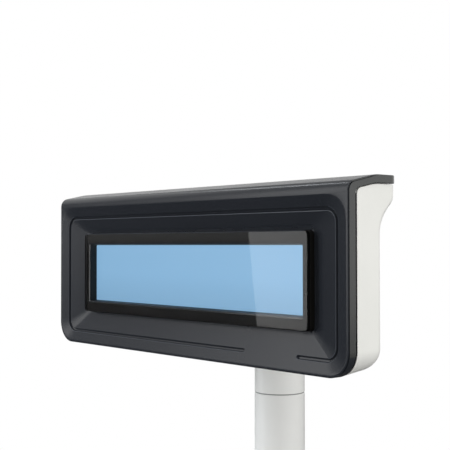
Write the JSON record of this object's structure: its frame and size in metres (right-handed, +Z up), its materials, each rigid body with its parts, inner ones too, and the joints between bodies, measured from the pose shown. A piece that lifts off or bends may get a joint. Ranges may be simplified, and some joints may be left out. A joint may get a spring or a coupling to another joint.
{
  "type": "customer pole display",
  "caption": "Wide, low display head with a dark dished front and a pale blue screen, tilting and swivelling on a white pole above a weighted base.",
  "frame": {"origin": "on the pole axis, at the counter top under the base", "axes": "+Z up along the pole, the screen faces -Y, +X to the right as the customer looks at the screen"},
  "size_m": [0.207, 0.1316, 0.3087],
  "materials": {
    "fascia": "anthracite moulded ABS, fine satin grain",
    "window": "clear polished acrylic",
    "frame": "black, seen through the window",
    "screen": "pale blue lit screen",
    "backlight": "white light guide",
    "board": "green solder mask",
    "chip": "black moulded packages",
    "header": "cream nylon",
    "housing": "white moulded ABS, fine satin grain",
    "pole_white": "white moulded nylon",
    "pole_paint": "white satin powder coat",
    "bush": "plain acetal",
    "seam": "grey acetal",
    "socket": "turned",
    "steel": "zinc plated",
    "ballast": "grey primer on steel",
    "rubber": "black"
  },
  "bodies": {
    "stand": {"pole": "pole_paint", "swivel_bush": "bush", "thrust_washer": "seam", "pole_socket": "socket", "socket_screws": "steel", "clamp_screw": "steel", "base_cover": "housing", "base_plate": "ballast", "weld_nuts": "steel", "cover_screws": "steel", "base_pad": "rubber", "cable_grommet": "rubber"},
    "neck": {"neck": "pole_white", "stop_pin": "steel", "retaining_ring": "steel"},
    "head": {"front_fascia": "fascia", "display_window": "window", "window_frame": "frame", "screen_glass": "screen", "backlight": "backlight", "display_board": "board", "board_chips": "chip", "cable_header": "header", "board_screws": "steel", "rear_housing": "housing", "housing_screws": "steel", "cable_bushing": "rubber", "tilt_yoke": "housing", "yoke_screws": "steel", "friction_washers": "steel", "tilt_pin": "steel", "tilt_nut": "steel", "tilt_caps": "housing"}
  },
  "joints": [
    {"name": "swivel", "type": "hinge", "parent": "stand", "child": "neck", "pos_m": [0, 0, 0.2083], "axis": [0, 0, 1], "range_deg": [-160, 160]},
    {"name": "tilt", "type": "hinge", "parent": "neck", "child": "head", "pos_m": [0, 0, 0.25], "axis": [-1, 0, 0], "range_deg": [-15, 40]}
  ]
}
